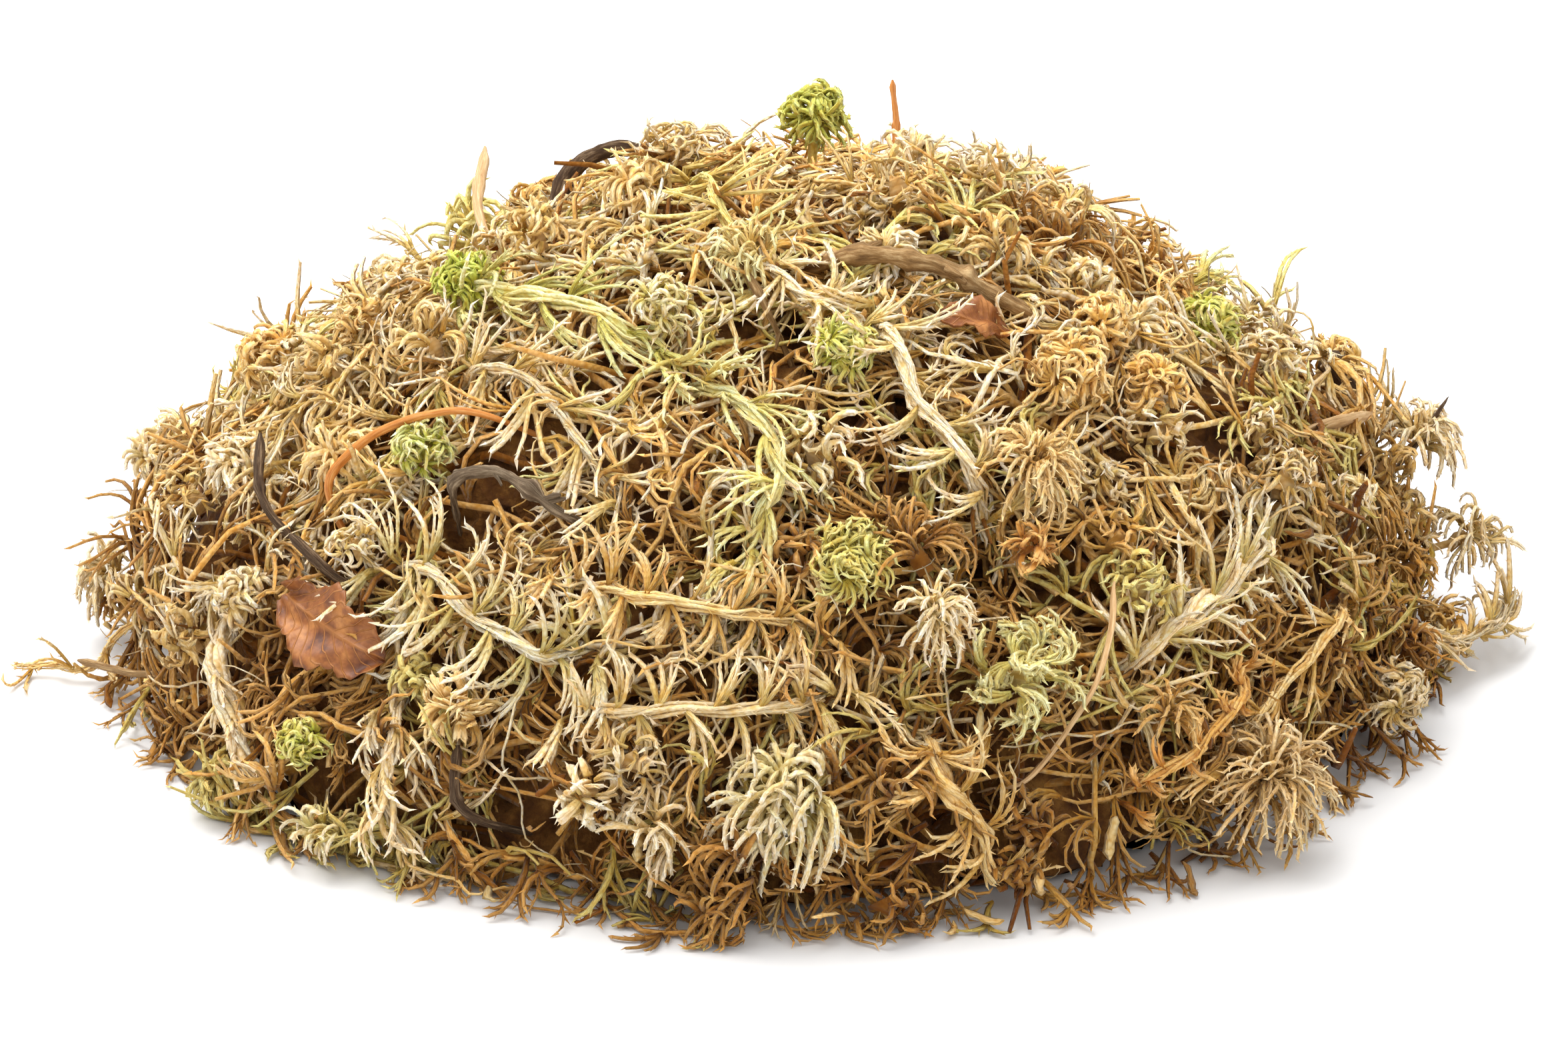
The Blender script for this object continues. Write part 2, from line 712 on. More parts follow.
def add_head(bundle, centre, axis, radius, form, count, thick, tints, draw, leafy=1.0, steps=5):
    """The crowded branches of one head, in lobes round a small core."""
    widest, curl, start, reach, sag, lobes, spread, swirl = HEAD_FORMS[form]
    if form == "basket":
        steps += 3
    core = [centre - axis * (0.4 * radius), centre, centre + axis * (start * 0.5 * radius)]
    thickness = [0.5 * start * radius, 0.6 * start * radius, 0.3 * start * radius]
    bundle.add(core, thickness, mixed(tints[0], BROWN, 0.5), leafy)
    side = axis.orthogonal().normalized()
    facings = []
    for lobe in range(lobes):
        around = Matrix.Rotation(lobe * GOLDEN_ANGLE + draw.uniform(-0.4, 0.4), 3, axis) @ side
        tilt = widest * math.sqrt(lobe / lobes) + draw.uniform(-0.15, 0.15)
        facing = axis * math.cos(tilt) + around * math.sin(tilt)
        facings.append((facing, start * radius * draw.uniform(0.7, 1.25), draw.uniform(-1, 1)))
    for index in range(count):
        facing, out, twist = facings[index % lobes]
        around = Matrix.Rotation(index * GOLDEN_ANGLE, 3, facing) @ facing.orthogonal().normalized()
        tilt = spread * draw.uniform(0.4, 1)
        heading = (facing * math.cos(tilt) + around * math.sin(tilt)).normalized()
        bend_axis = (facing.cross(around) + facing * (swirl * twist)).normalized()
        line = [centre + facing * out + around * (0.12 * radius)]
        length = radius * reach * draw.uniform(0.7, 1.15)
        bend = curl * draw.uniform(0.6, 1.3)
        for step in range(steps):
            heading = Matrix.Rotation(bend * (0.4 + 1.2 * step / steps) / steps, 3, bend_axis) @ heading
            heading = (heading - Vector((0, 0, sag * 2 * step / steps))).normalized()
            following = line[-1] + heading * (length / steps)
            following.z = max(following.z, thick + TABLE)
            line.append(following)
        own = thick * draw.uniform(0.75, 1.2)
        shades = blended(varied(tints[0], draw, 0.14), varied(tints[1], draw, 0.14), len(line), 0.7)
        bundle.add(line, taper(own, len(line), 0.9, 0.7), shades, leafy)

print("forms of head:", ", ".join(HEAD_FORMS))

# %% The named heads
# Name, slot, form, bearing, rise, height and radius in mm, lean, branches, their half
# width in mm, and the root and tip colours. Places and sizes are the CAD model's.
HEADS = (
    (
        "green_crown_head", "green_moss", "rosette", 78, 74, 1.0, 7.0, (0, 0), 120, 0.5,
        mixed(GREEN, LIME, 0.2), mixed(GREEN, LIME, 0.5),
    ),
    (
        "green_left_head", "green_moss", "rosette", -158, 54, 1.0, 6.0, (180, 40), 110, 0.45,
        GREEN, mixed(GREEN, LIME, 0.3),
    ),
    ("green_centre_head", "green_moss", "rosette", -79, 57, 0.5, 6.0, (-90, 20), 130, 0.45, GREEN, LIME),
    ("green_back_head", "green_moss", "rosette", -11, 43, 0.5, 6.0, (0, 20), 100, 0.5, GREEN, LIME),
    ("golden_head", "golden_moss", "rosette", -45, 48, 1.0, 7.0, (-90, 15), 130, 0.5, GOLD, STRAW),
    ("fan_head", "straw_moss", "fan", -58, 40, 0.0, 6.0, (-20, 50), 90, 0.42, TAN, STRAW),
    ("pale_ball_head", "pale_green_moss", "ball", -66, 22, 1.0, 7.5, (-70, 0), 110, 0.45, LIME, MINT),
    (
        "basket_head", "pale_green_moss", "basket", -90, 12, -2.0, 8.0, (-90, 5), 88, 0.56,
        mixed(LIME, CREAM, 0.3), CREAM,
    ),
    ("flower_head", "straw_moss", "tongues", -122, 17, 1.0, 6.0, (-120, 0), 80, 0.6, TAN, STRAW),
    ("mint_head", "pale_green_moss", "rosette", -139, 38, 0.0, 5.5, (-130, 10), 80, 0.45, GREEN, MINT),
    (
        "olive_head", "pale_green_moss", "rosette", -82, 34, -0.5, 7.0, (-60, 30), 140, 0.4,
        mixed(GREEN, TAN, 0.4), LIME,
    ),
    ("left_pale_head", "pale_green_moss", "rosette", 174, 17, 1.0, 7.0, (180, 10), 100, 0.6, STRAW, CREAM),
    ("left_golden_head", "golden_moss", "rosette", -178, 33, 1.0, 7.0, (180, 0), 100, 0.6, GOLD, STRAW),
    (
        "right_fan_head", "white_moss", "fan", -44, 7, 0.0, 8.0, (-60, 20), 120, 0.4,
        TAN, mixed(STRAW, CREAM, 0.4),
    ),
    ("right_side_head", "straw_moss", "rosette", -22, 6, 0.0, 6.5, (-20, 10), 100, 0.45, STRAW, CREAM),
    ("back_left_head", "straw_moss", "rosette", 128, 40, 1.0, 7.0, (130, 0), 90, 0.6, TAN, STRAW),
    ("back_right_head", "golden_moss", "rosette", 62, 36, 1.0, 7.0, (60, 0), 90, 0.6, GOLD, STRAW),
)


# Smaller tufts that the CAD model leaves to its plain tangle
EXTRA_HEADS = (
    ("pale_crown_tuft", "pale_green_moss", "rosette", -115, 61, 0.5, 6.0, (-110, 20), 70, 0.5, LIME, CREAM),
    ("lime_top_tuft", "pale_green_moss", "basket", -100, 70, 0.0, 5.0, (-90, 20), 44, 0.4, STRAW, MINT),
    ("golden_upper_tuft", "golden_moss", "rosette", -30, 51, 1.0, 6.0, (-40, 10), 80, 0.6, GOLD, STRAW),
    (
        "golden_side_tuft", "golden_moss", "rosette", -33, 43, 0.5, 5.5, (-30, 20), 70, 0.5,
        GOLD, mixed(GOLD, STRAW, 0.5),
    ),
    ("starry_tuft", "golden_moss", "tongues", -61, 33, -1.0, 4.5, (-60, 0), 50, 0.5, RUST, GOLD),
    ("white_wisp", "white_moss", "fan", -75, 28, 1.0, 5.5, (-40, 60), 40, 0.42, STRAW, CREAM),
    ("olive_left_tuft", "green_moss", "rosette", -137, 10, 0.5, 4.5, (-140, 10), 60, 0.45, GREEN, LIME),
    ("curled_pale_tuft", "white_moss", "basket", -133, 3, 1.0, 4.0, (-130, 0), 30, 0.45, LIME, CREAM),
    ("front_left_tuft", "straw_moss", "tongues", -108, 12, 1.0, 5.5, (-110, 10), 44, 0.7, STRAW, CREAM),
    ("cream_left_tuft", "white_moss", "rosette", -152, 18, 1.0, 5.5, (-160, 20), 60, 0.6, STRAW, CREAM),
    ("cream_top_tuft", "white_moss", "rosette", 20, 62, -1.5, 6.0, (0, 20), 70, 0.6, STRAW, CREAM),
    ("cream_right_tuft", "white_moss", "rosette", -14, 22, 1.0, 5.5, (-10, 20), 60, 0.5, STRAW, CREAM),
    ("golden_curl_tuft", "golden_moss", "ball", -4, 4, 3.0, 5.0, (0, 0), 50, 0.5, GOLD, STRAW),
    ("right_edge_tuft", "white_moss", "basket", 3, 9, 8.0, 5.5, (0, 30), 46, 0.42, STRAW, CREAM),
    ("right_upper_tuft", "white_moss", "fan", 6, 17, 5.0, 6.5, (20, 20), 60, 0.5, STRAW, CREAM),
    ("right_back_tuft", "straw_moss", "rosette", 14, 24, 3.0, 6.5, (20, 10), 60, 0.55, GOLD, STRAW),
    ("left_shoulder_tuft", "white_moss", "rosette", 172, 44, -5.0, 6.5, (180, 10), 60, 0.55, STRAW, CREAM),
    ("beige_ball_tuft", "straw_moss", "ball", -166, 44, 1.0, 4.5, (180, 0), 60, 0.5, TAN, STRAW),
    ("cream_front_tuft", "white_moss", "basket", -101, 9, -1.5, 5.5, (-100, 0), 46, 0.55, STRAW, CREAM),
    ("left_edge_tuft", "white_moss", "fan", 178, 6, 1.5, 5.5, (180, 40), 50, 0.5, STRAW, CREAM),
)
on_top = []


def make_head(name, slot, form, bearing, rise, height, radius, lean, count, thick, root, tip, node=None):
    draw = random.Random(name)
    bundle = Bundle()
    centre = at(bearing, rise, height)
    centre.z = max(centre.z, radius * MM * 0.75)
    low = 0.4 * lowness(centre)
    root, tip = stained(root, low), stained(tip, low)
    axis = head_axis(bearing, rise, lean, form != "tongues")
    add_head(bundle, centre, axis, radius * MM, form, count, thick * MM, (root, tip), draw)
    stalk = [centre - outward(centre) * (step * 3 * MM) for step in range(4)]
    for point in stalk:
        point.z = max(point.z, 1.5 * MM)
    bundle.add(stalk, [0.9 * MM] * len(stalk), mixed(root, TAN, 0.6), 0.6)
    values = {"Leaf spacing": 0.95 * MM, "Leaf length": 0.95 * MM, "Leaf tilt": 0.85, "Finish": DRY_MOSS}
    if form == "tongues":
        values.update({"Sides": 5, "Flatness": 0.4, "Leaf spacing": 0.9 * MM, "Leaf tilt": 0.4})
    settle(grow(bundle, name + "_fine", rope_tree, values), node)
    on_top.append(centre)
    on_top.append(centre + axis * (0.6 * radius * MM))


for row in HEADS:
    make_head(*row, node=row[0])
for row in EXTRA_HEADS:
    make_head(*row)
print("heads:", len(HEADS) + len(EXTRA_HEADS))

# %% [markdown]
# ## Leafy stems that lie on top
#
# A few long stems can be followed by eye across the heap. Scattered ones would never lie just
# there, so each is given by its route, which is the CAD model's: it is sunk in the tangle at
# its ends. A thin core with five strands that hug it makes the stem look laid, not turned.
# Its bunches of branches run forward along it and lie to both sides.

# %% The named stems
# Name, slot, stem half width, bunches, branch length, root and tip colours, and the route
# of bearings, rises and heights; lengths in mm
LEAFY_STEMS = (
    (
        "white_centre_stem", "white_moss", 1.3, 10, 11, STRAW, CREAM,
        ((-66, 65, -9.5), (-69, 57, 0.5), (-68, 49, 1), (-65, 42, 0.5), (-62, 36, -8)),
    ),
    (
        "yellow_centre_stem", "pale_green_moss", 1.1, 11, 9, LIME, MINT,
        ((-112, 55, -9.5), (-99, 52, 0.5), (-91, 45, 1), (-93, 39, 0.5), (-95, 34, -8)),
    ),
    (
        "comb_stem", "white_moss", 1.1, 16, 12, mixed(LIME, CREAM, 0.5), CREAM,
        ((-140, 26, -9.5), (-131, 28, 1), (-122, 25, 1.5), (-114, 23.5, 0.5), (-108, 25, -8)),
    ),
    (
        "front_stem", "straw_moss", 1.0, 15, 8, STRAW, mixed(STRAW, CREAM, 0.6),
        ((-113, 18, -9.5), (-106, 19.5, 1), (-97, 20.5, 1), (-89, 21, 0.5), (-83, 22, -8)),
    ),
    (
        "upper_front_stem", "straw_moss", 1.0, 15, 8, TAN, STRAW,
        ((-118, 31, -9.5), (-109, 30, 0.5), (-100, 30, 1), (-92, 29, 0.5), (-83, 27, -8)),
    ),
    (
        "right_stem", "white_moss", 1.4, 12, 10, mixed(LIME, CREAM, 0.6), CREAM,
        ((-57, 17, -9.5), (-51, 22, 1), (-43, 24, 1.5), (-33, 25, 1), (-22, 24, -8)),
    ),
    (
        "front_right_stem", "golden_moss", 1.5, 8, 9, GOLD, STRAW,
        ((-76, 18, -9.5), (-75.5, 14, 1), (-73, 9, 1.5), (-71, 4, 0.5)),
    ),
    (
        "golden_root", "golden_moss", 0.9, 12, 4, RUST, GOLD,
        ((-38, 19, -9.5), (-44, 15, 1.5), (-50, 13, 2), (-55, 11, 1), (-58, 8, -8)),
    ),
    (
        "top_loop_stem", "pale_green_moss", 1.0, 11, 11, STRAW, LIME,
        ((140, 72, -9.5), (-150, 80, 0.5), (-110, 74, 1), (-93, 67, -8)),
    ),
    (
        "scaly_left_stem", "white_moss", 1.5, 8, 5, STRAW, CREAM,
        ((-160, 19, -9.5), (-152, 13, 1.5), (-147, 9, 1.5), (-141, 5, 1)),
    ),
    (
        "back_stem", "straw_moss", 1.2, 10, 10, TAN, STRAW,
        ((60, 58, -9.5), (75, 50, 1), (92, 44, 1.5), (108, 42, 0.5), (118, 38, -8)),
    ),
    (
        "back_right_stem", "pale_green_moss", 1.2, 10, 10, LIME, MINT,
        ((20, 38, -9.5), (28, 32, 1), (38, 24, 1.5), (44, 16, 0.5), (48, 10, -8)),
    ),
    (
        "back_left_stem", "white_moss", 1.2, 10, 10, STRAW, CREAM,
        ((150, 40, -9.5), (146, 32, 1), (138, 24, 1.5), (128, 18, 0.5), (122, 14, -8)),
    ),
    (
        "trailing_left_stem", "golden_moss", 0.6, 4, 8, GOLD, STRAW,
        ((-168, 11, -9.5), (-172, 6, 0), (-174, 1.5, 3), (-175, 1, 9), (-176, 1, 15)),
    ),
    (
        "right_trailing_tuft", "straw_moss", 0.8, 11, 9, STRAW, CREAM,
        ((-13, 10, -9.5), (-9, 6, 1), (-6, 4, 6), (-3, 4, 11), (1, 5, 15)),
    ),
)


EXTRA_STEMS = (
    (
        "green_left_strands", "pale_green_moss", 1.3, 9, 12, mixed(GREEN, LIME, 0.5), MINT,
        ((-160, 53, -3), (-152, 55, 1.5), (-140, 57, 2), (-126, 58, 1.5), (-114, 57, -4)),
    ),
    (
        "cream_top_stem", "white_moss", 1.0, 9, 10, STRAW, CREAM,
        ((-100, 75, -5), (-92, 68, 1), (-84, 64, 1), (-76, 62, 0), (-70, 58, -6)),
    ),
    (
        "lower_left_stem", "white_moss", 0.8, 7, 9, STRAW, CREAM,
        ((-132, 16, -6), (-128, 12, 1), (-127, 8, 1.5), (-125, 4, 1)),
    ),
    (
        "left_wavy_stem", "straw_moss", 0.8, 9, 10, STRAW, CREAM,
        ((-150, 45, -6), (-140, 48, 1), (-128, 48, 1.5), (-117, 44, 1), (-110, 38, -5)),
    ),
    (
        "right_wavy_stem", "straw_moss", 0.9, 9, 9, GOLD, STRAW,
        ((-20, 14, -6), (-28, 16, 1), (-36, 14, 1.5), (-42, 12, 0), (-48, 8, -5)),
    ),
)


# %% One leafy stem
STRANDS = 5


def spot_on(stem, share):
    """The point at a share of a stem's length, and the way that the stem runs there."""
    place = share * (len(stem) - 1)
    low = min(int(place), len(stem) - 2)
    return stem[low].lerp(stem[low + 1], place - low), (stem[low + 1] - stem[low]).normalized()


def hugging_strand(stem, strand, radius, draw):
    """One of the strands that wind along a stem and keep close to it."""
    turn = strand * math.tau / STRANDS
    hugging = []
    for index, (point, (across, up)) in enumerate(zip(stem, carried_frames(stem, outward(stem[0])))):
        around = turn + 0.35 * index + 0.5 * math.sin(index * 0.9 + strand * 2)
        away = radius * MM * draw.uniform(0.55, 0.95)
        moved = point + (across * math.cos(around) + up * math.sin(around)) * away
        moved.z = max(moved.z, 0.8 * MM)
        hugging.append(moved)
    return hugging


def make_leafy_stem(name, slot, radius, bunches, reach, root_tint, tip_tint, route, node=None):
    draw = random.Random(name)
    bundle = Bundle()
    stem = route_line(route, 5, radius * MM, 1.3 * MM)
    low = 0.4 * lowness(stem[len(stem) // 2])
    root_tint, tip_tint = stained(root_tint, low), stained(tip_tint, low)
    shades = [varied(mixed(root_tint, tip_tint, 0.5), draw, 0.12) for _ in stem]
    bundle.add(stem, taper(radius * 0.75 * MM, len(stem), 0.8, 0.6), shades, 1.0)
    for strand in range(STRANDS):
        line = hugging_strand(stem, strand, radius, draw)
        bundle.add(line, taper(radius * 0.38 * MM, len(line), 0.6, 0.5), varied(tip_tint, draw), 0.8)
    comb = draw.uniform(-1.6, 1.6)
    thick = min(0.45, radius * 0.6) * MM
    for bunch in range(bunches):
        root, along = spot_on(stem, (bunch + 0.6) / bunches)
        add_bunch(
            bundle, root, along, 1 if bunch % 2 else -1, draw, reach * MM, thick, -0.6 * MM,
            (root_tint, tip_tint), 1.0, 5 if bunches > 4 else 2, 6, comb,
        )
    piece = grow(bundle, name + "_fine", rope_tree, {
        "Sides": 4, "Leaf spacing": 1.25 * MM, "Leaf length": 1.2 * MM, "Finish": DRY_MOSS,
    })
    on_top.extend(stem[3:-3])
    settle(piece, node)


for row in LEAFY_STEMS:
    make_leafy_stem(*row, node=row[0])
for row in EXTRA_STEMS:
    make_leafy_stem(*row)
print("leafy stems:", len(LEAFY_STEMS) + len(EXTRA_STEMS))

# %% [markdown]
# ## Sticks, needles and chips
#
# Woody litter has bark, grain and knots. A stick could be a cylinder with a bark picture, but
# its outline would stay straight and its ends cut. So a second tree sweeps a finer ring along
# a line that swells at its knots, remembers how far along and around each point is, and
# pushes the surface in and out with noise. The finish reads those two attributes, so that its
# grain runs along every stick.

# %% The stick tree
STICK_INPUTS = (
    ("Sides", "NodeSocketInt", 12),
    ("Flatness", "NodeSocketFloat", 1.0),
    ("Roughness", "NodeSocketFloat", 0.25 * MM),
    ("Lumps", "NodeSocketFloat", 500.0),
    ("Finish", "NodeSocketMaterial", None),
)


def build_stick_tree():
    tree, start, end = new_tree("Barked sticks", STICK_INPUTS)
    curves = put(tree, "GeometryNodeMeshToCurve", {"Mesh": start.outputs["Paths"]})
    facing = put(tree, "GeometryNodeSetCurveNormal", {
        "Curve": curves.outputs["Curve"], "Normal": named(tree, "up", "FLOAT_VECTOR"),
    }, mode="FREE")
    swept = swept_ring(tree, facing.outputs["Curve"], start)
    place = put(tree, "GeometryNodeInputPosition", {})
    lumps = put(tree, "ShaderNodeTexNoise", {
        "Vector": place.outputs[0], "Scale": start.outputs["Lumps"], "Detail": 3.0,
    })
    centred = calc(tree, "SUBTRACT", lumps.outputs["Fac"], 0.5)
    push = calc(tree, "MULTIPLY", centred, start.outputs["Roughness"])
    normal = put(tree, "GeometryNodeInputNormal", {})
    offset = put(tree, "ShaderNodeVectorMath", {0: normal.outputs[0], "Scale": push}, operation="SCALE")
    rough = put(tree, "GeometryNodeSetPosition", {"Geometry": swept, "Offset": offset.outputs[0]})
    smooth = put(tree, "GeometryNodeSetShadeSmooth", {"Geometry": rough.outputs["Geometry"]})
    return end_tree(tree, smooth.outputs["Geometry"], start, end)


stick_tree = build_stick_tree()
print("stick tree nodes:", len(stick_tree.nodes))

# %% Wood, bark and needle finishes
GRAIN = (170, 7, 1)  # streaks to the metre along a stick, and streaks round it


def grained_finish(name, dark, middle_tone, light, roughness, relief_mm):
    """A finish whose streaks run along the stick, from its own attributes."""
    material, tree, surface = new_finish(name, roughness, 0.3)
    streaks = put(tree, "ShaderNodeTexNoise", {
        "Vector": along_and_around(tree, GRAIN), "Scale": 1.0, "Detail": 6.0, "Roughness": 0.7,
    }).outputs["Fac"]
    colour = ramp(tree, streaks, ((0.32, dark), (0.5, middle_tone), (0.68, light)))
    dress(tree, surface, colour, streaks, 0.7, relief_mm * MM)
    return material


TWIG_WOOD = grained_finish(
    "twig_wood", srgb(84, 58, 34), srgb(150, 116, 74), srgb(214, 184, 136), 0.85, 0.7,
)
DARK_BARK = grained_finish(
    "dark_bark", srgb(40, 26, 16), srgb(80, 60, 42), srgb(150, 126, 98), 0.85, 0.7,
)
GREY_BARK = grained_finish(
    "grey_bark", srgb(60, 46, 34), srgb(110, 92, 72), srgb(180, 160, 132), 0.9, 0.8,
)
NEEDLE = grained_finish(
    "needle", srgb(160, 88, 34), srgb(208, 134, 66), srgb(234, 176, 108), 0.35, 0.1,
)
PALE_WOOD = grained_finish(
    "pale_wood", srgb(164, 122, 80), srgb(206, 168, 120), srgb(236, 208, 166), 0.7, 0.25,
)
print("a finish has %d nodes" % len(NEEDLE.node_tree.nodes))

# %% The named sticks
# Name, slot, finish, half width in mm, flatness, how rough, knots, side stubs, and the route
STICKS = (
    (
        "woody_twig", "brown_wood", TWIG_WOOD, 1.5, 0.8, 1.5, 4, 3,
        ((-88, 76, -9), (-70, 70, 1), (-55, 65, 1.5), (-46, 60, 1), (-40, 54, 1)),
    ),
    (
        "grey_twig", "dark_bark", GREY_BARK, 1.0, 0.9, 1.1, 4, 3,
        ((-135, 32, -9), (-131, 36.5, 1), (-125, 38.5, 1.5), (-118, 37, 0), (-111, 35.5, -9)),
    ),
    (
        "dark_left_stick", "dark_bark", DARK_BARK, 0.75, 1.0, 0.3, 1, 0,
        ((-160, 31, 5), (-153, 26, 1.5), (-144, 21, -11)),
    ),
    (
        "dark_low_stick", "dark_bark", DARK_BARK, 1.0, 0.8, 0.4, 1, 1,
        ((-146, 26, 3.5), (-140, 24, 0), (-134, 22, -9.5)),
    ),
    (
        "orange_needle", "orange_brown", NEEDLE, 0.8, 0.7, 0.05, 0, 0,
        ((-146, 25, -9), (-148, 31, 2), (-144, 38, 4), (-134, 43, 2.5), (-127, 45, -9)),
    ),
    (
        "bark_strip", "dark_bark", DARK_BARK, 1.5, 0.6, 1.0, 2, 2,
        ((168, 57, -9), (150, 62, 1), (134, 66, 1.5), (120, 69, -7)),
    ),
    (
        "pale_stub", "brown_wood", PALE_WOOD, 1.0, 0.8, 0.5, 1, 0,
        ((150, 54, 9), (172, 56, 1), (-170, 58, -9.5)),
    ),
    (
        "pink_stalk", "orange_brown", NEEDLE, 0.7, 1.0, 0.3, 1, 0,
        ((57, 70, 8.5), (53, 70, 2), (46, 70, -9.5)),
    ),
    (
        "dark_right_stalk", "dark_bark", DARK_BARK, 0.75, 1.0, 0.3, 1, 1,
        ((7, 20, 13), (5, 17, 4), (-1, 15, -9.5)),
    ),
    (
        "bark_chip", "dark_bark", DARK_BARK, 2.0, 0.5, 1.0, 1, 0,
        ((11, 27, 3.5), (10, 22, 1), (7, 17, -9)),
    ),
    (
        "dark_front_stick", "dark_bark", DARK_BARK, 0.9, 0.9, 0.4, 1, 0,
        ((-121, 14, 1), (-119.5, 9, 1), (-116, 4.5, -9)),
    ),
    (
        "orange_left_stick", "orange_brown", TWIG_WOOD, 0.75, 0.8, 0.2, 0, 0,
        ((-173, 2.5, 6), (-165, 5, 0), (-156, 8, -9.5)),
    ),
    (
        "grey_top_stalk", "brown_wood", TWIG_WOOD, 0.8, 0.8, 0.4, 1, 1,
        ((-103, 69, 1), (-95, 64, 1), (-87, 60, -9.5)),
    ),
    (
        "straw_blade", "straw_moss", PALE_WOOD, 0.85, 0.35, 0.1, 0, 0,
        ((-55, 28, 3), (-60, 21, 4.5), (-67, 13, 0), (-70, 10, -9)),
    ),
    (
        "wood_shaving", "brown_wood", PALE_WOOD, 2.6, 0.22, 0.6, 0, 0,
        ((-13, 30, -9), (-6, 27, 1), (0, 24, 1.5), (5, 22, -1)),
    ),
)


# %% One stick
KNOT_WIDTH = 0.025  # as a share of the stick's length
KNOT_SWELL = 0.45
STUB_TAPER = (0.6, 0.5, 0.42, 0.2)


def make_stick(name, slot, finish, half_width, flatness, rough, knots, stubs, route):
    draw = random.Random(name)
    bundle = Bundle()
    line = route_line(route, 14, half_width * MM, 0.35 * MM)
    knot_places = [draw.uniform(0.2, 0.8) for _ in range(knots)]
    thickness = []
    for index, point in enumerate(line):
        t = index / (len(line) - 1)
        swell = 1 + 0.12 * noise.noise(point * 300)
        for place in knot_places:
            swell += KNOT_SWELL * math.exp(-(((t - place) / KNOT_WIDTH) ** 2))
        end = min(1, 0.35 + 9 * min(t, 1 - t))
        thickness.append(half_width * MM * swell * end * (1 - 0.25 * t))
    bundle.add(line, thickness, STRAW)
    for _ in range(stubs):
        place = draw.randint(len(line) // 4, 3 * len(line) // 4)
        root = line[place]
        along = (line[place + 1] - root).normalized()
        up = outward(root)
        across = up.cross(along).normalized() * draw.choice((-1, 1))
        way = (along + across * 0.9 + up * draw.uniform(0, 0.7)).normalized()
        stub = [root + way * (step * half_width * MM * 0.9) for step in range(len(STUB_TAPER))]
        bundle.add(stub, [half_width * MM * share for share in STUB_TAPER], STRAW)
    piece = grow(bundle, name + "_fine", stick_tree, {
        "Flatness": flatness, "Roughness": rough * MM, "Finish": finish,
    })
    on_top.extend(line[8:-8:2])
    settle(piece, name)


for row in STICKS:
    make_stick(*row)
print("sticks:", len(STICKS))

# %% [markdown]
# ## Dead leaves
#
# The brown leaf is a thin cupped sheet with a midrib, side veins, a waved edge and cracks. It
# could be cut from a plane and bent by modifiers. A grid of points along and across the
# midrib is simpler to keep closed: its two faces share their outline, and each point keeps
# its place along and across the leaf as a UV, which the veins are drawn in.

# %% Leaf finish
VEIN_SLANT = -0.55
VEIN_PITCH = 62.0


def leaf_finish():
    material, tree, surface = new_finish("brown_leaf_tissue", 0.5)
    place = tree.nodes.new("ShaderNodeTexCoord")
    parts = put(tree, "ShaderNodeSeparateXYZ", {"Vector": place.outputs["UV"]})
    aside = calc(tree, "ABSOLUTE", calc(tree, "SUBTRACT", parts.outputs["Y"], 0.5))
    slant = calc(tree, "MULTIPLY_ADD", aside, VEIN_SLANT, parts.outputs["X"])
    side_veins = calc(tree, "SINE", calc(tree, "MULTIPLY", slant, VEIN_PITCH))
    veins = ramp(tree, side_veins, ((0.86, 0.0), (1.0, 1.0)))
    midrib = ramp(tree, aside, ((0.0, 1.0), (0.05, 0.0)))
    ribs = calc(tree, "MAXIMUM", veins, midrib)
    tissue = ramp(
        tree, noise_pattern(tree, 330, 6.0),
        ((0.32, srgb(84, 42, 16)), (0.5, srgb(142, 84, 38)), (0.68, srgb(186, 124, 64))),
    )
    colour = blend(tree, tissue, (*srgb(168, 108, 54), 1), ribs, "MIX")
    dress(tree, surface, colour, ribs, 0.6, 0.3 * MM)
    return material


BROWN_LEAF = leaf_finish()
print("leaf finish nodes:", len(BROWN_LEAF.node_tree.nodes))

# %% Two dead leaves
ACROSS = 16  # spaces from edge to edge
HALF_SHEET_MM = 0.12


def shape_object(shape, name, material):
    """The finished object of a bmesh, in one material."""
    mesh = bpy.data.meshes.new(name)
    shape.to_mesh(mesh)
    shape.free()
    mesh.materials.append(material)
    return linked(name, mesh)


def leaf_rows(shape, line, frames, half_width, where):
    """Rows of point pairs, one on each face of the leaf, and the place of each for its UV."""
    rows = []
    for index, (point, (side, up)) in enumerate(zip(line, frames)):
        t = index / (len(line) - 1)
        outline = max(math.sin(math.pi * min(t * 0.92 + 0.04, 1)) ** 0.7, 0.12)
        lobe = 1 + 0.16 * math.sin(t * 17) + 0.06 * math.sin(t * 61)
        row = []
        for column in range(ACROSS + 1):
            s = 2 * column / ACROSS - 1
            cup = 0.28 * half_width * (s * s - 0.4) + 0.5 * math.sin(5 * s + 9 * t)
            middle = point + side * (half_width * MM * outline * lobe * s) + up * (cup * MM)
            middle += up * (0.5 * MM * noise.noise(middle * 350))
            pair = [shape.verts.new(middle + up * (half * MM)) for half in (HALF_SHEET_MM, -HALF_SHEET_MM)]
            where.update((vertex, (t, (s + 1) / 2)) for vertex in pair)
            row.append(pair)
        rows.append(row)
    return rows


